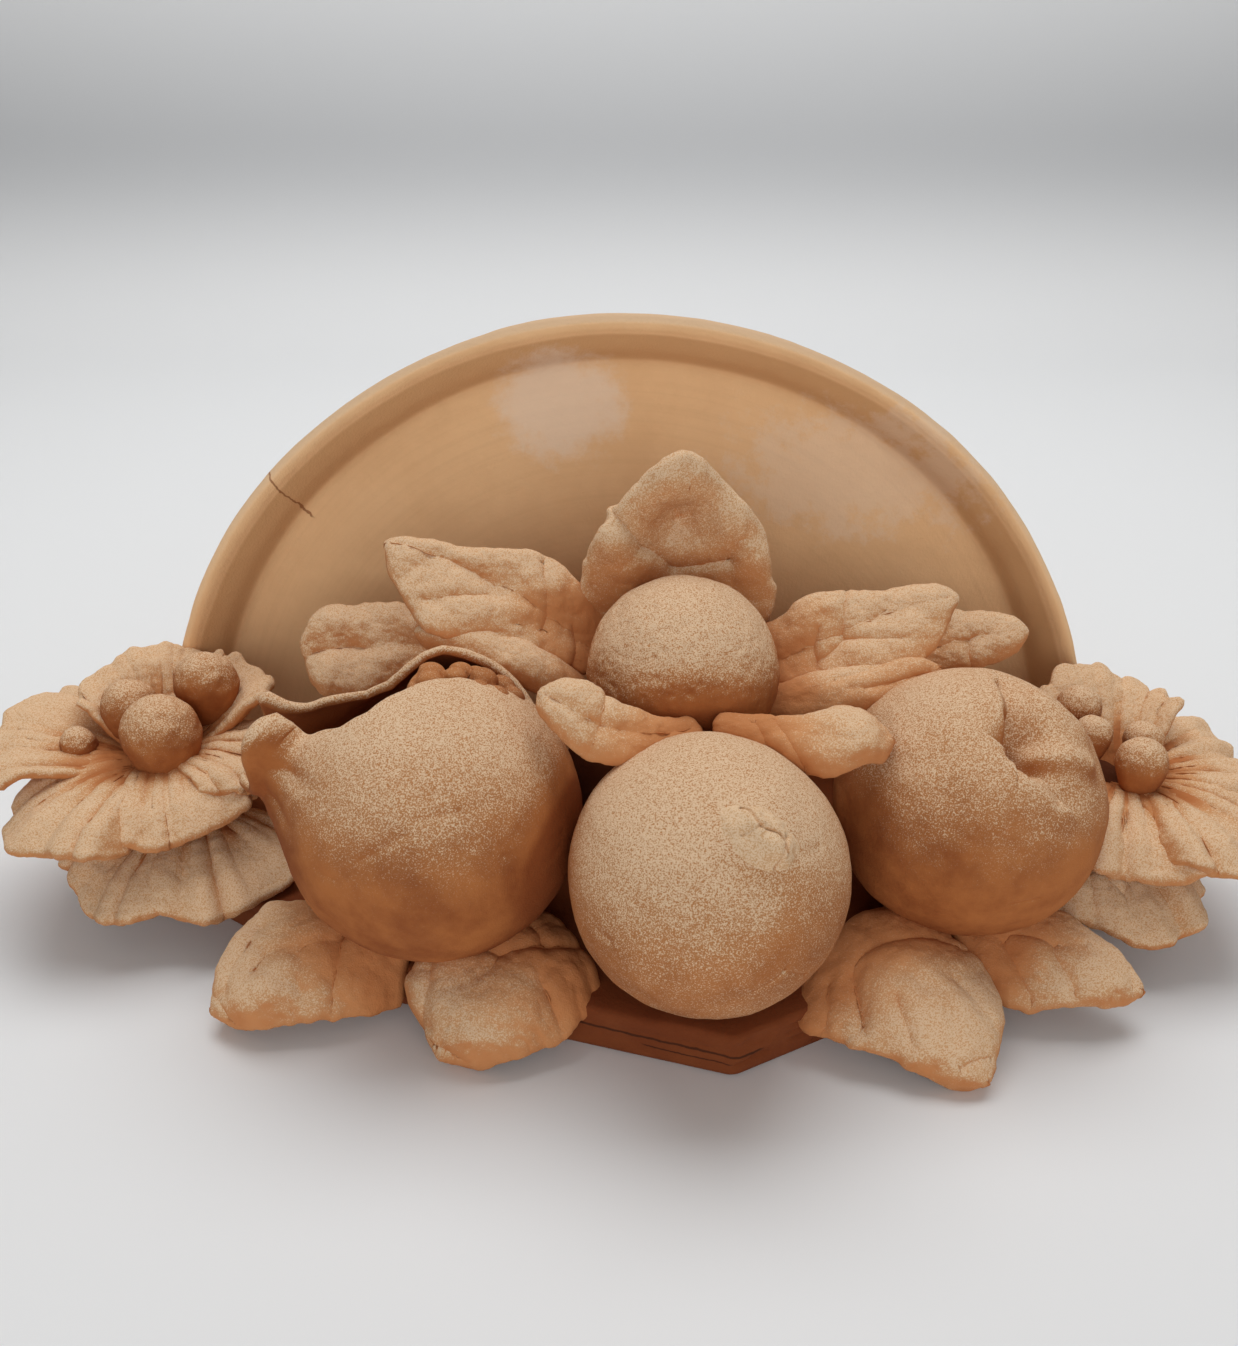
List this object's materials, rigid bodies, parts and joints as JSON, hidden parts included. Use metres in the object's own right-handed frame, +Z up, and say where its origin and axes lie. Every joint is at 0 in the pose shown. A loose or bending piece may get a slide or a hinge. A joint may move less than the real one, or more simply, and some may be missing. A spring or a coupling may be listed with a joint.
{
  "type": "clay fruit centrepiece",
  "caption": "Unglazed terracotta centrepiece: a half-round dish leaning back on an eight-sided slab, with a pomegranate, fruits, leaves and flowers luted in front of it.",
  "frame": {"origin": "middle of the slab's flat underside, on the surface the piece stands on", "axes": "+Z up, +X to the right as seen from the front, +Y to the rear, towards the half-round dish"},
  "size_m": [0.3769, 0.1704, 0.1614],
  "materials": {
    "apple_clay": "matte unglazed fired clay, finely speckled",
    "dish_clay": "matte unglazed fired clay, finely speckled",
    "leaf_clay": "matte unglazed fired clay, finely speckled",
    "slab_clay": "matte unglazed fired clay, finely speckled",
    "support_clay": "matte unglazed fired clay, finely speckled",
    "front_fruit_clay": "matte unglazed fired clay, finely speckled",
    "berry_clay": "matte unglazed fired clay, finely speckled",
    "petal_clay": "matte unglazed fired clay, finely speckled",
    "orange_clay": "matte unglazed fired clay, finely speckled",
    "pomegranate_clay": "matte unglazed fired clay, finely speckled"
  },
  "bodies": {
    "root": {"apple": "apple_clay", "back_dish": "dish_clay", "back_leaf_centre": "leaf_clay", "back_leaf_left_front": "leaf_clay", "back_leaf_left_rear": "leaf_clay", "back_leaf_right_front": "leaf_clay", "back_leaf_right_rear": "leaf_clay", "base_slab": "slab_clay", "centre_mound": "support_clay", "front_fruit": "front_fruit_clay", "front_fruit_nub": "front_fruit_clay", "front_leaf_left_inner": "leaf_clay", "front_leaf_left_outer": "leaf_clay", "front_leaf_right_inner": "leaf_clay", "front_leaf_right_outer": "leaf_clay", "left_flower_berry_1": "berry_clay", "left_flower_berry_2": "berry_clay", "left_flower_berry_3": "berry_clay", "left_flower_berry_4": "berry_clay", "left_flower_core": "support_clay", "left_flower_lower_petal_1": "petal_clay", "left_flower_lower_petal_2": "petal_clay", "left_flower_lower_petal_3": "petal_clay", "left_flower_lower_petal_4": "petal_clay", "left_flower_upper_petal_1": "petal_clay", "left_flower_upper_petal_2": "petal_clay", "left_flower_upper_petal_3": "petal_clay", "left_flower_upper_petal_4": "petal_clay", "left_flower_upper_petal_5": "petal_clay", "left_flower_upper_petal_6": "petal_clay", "mid_leaf_left": "leaf_clay", "mid_leaf_right": "leaf_clay", "orange": "orange_clay", "pomegranate_seeds": "pomegranate_clay", "pomegranate_shell": "pomegranate_clay", "right_flower_berry_1": "berry_clay", "right_flower_berry_2": "berry_clay", "right_flower_berry_3": "berry_clay", "right_flower_berry_4": "berry_clay", "right_flower_core": "support_clay", "right_flower_lower_petal_1": "petal_clay", "right_flower_lower_petal_2": "petal_clay", "right_flower_lower_petal_3": "petal_clay", "right_flower_lower_petal_4": "petal_clay", "right_flower_upper_petal_1": "petal_clay", "right_flower_upper_petal_2": "petal_clay", "right_flower_upper_petal_3": "petal_clay", "right_flower_upper_petal_4": "petal_clay", "right_flower_upper_petal_5": "petal_clay"}
  },
  "joints": []
}
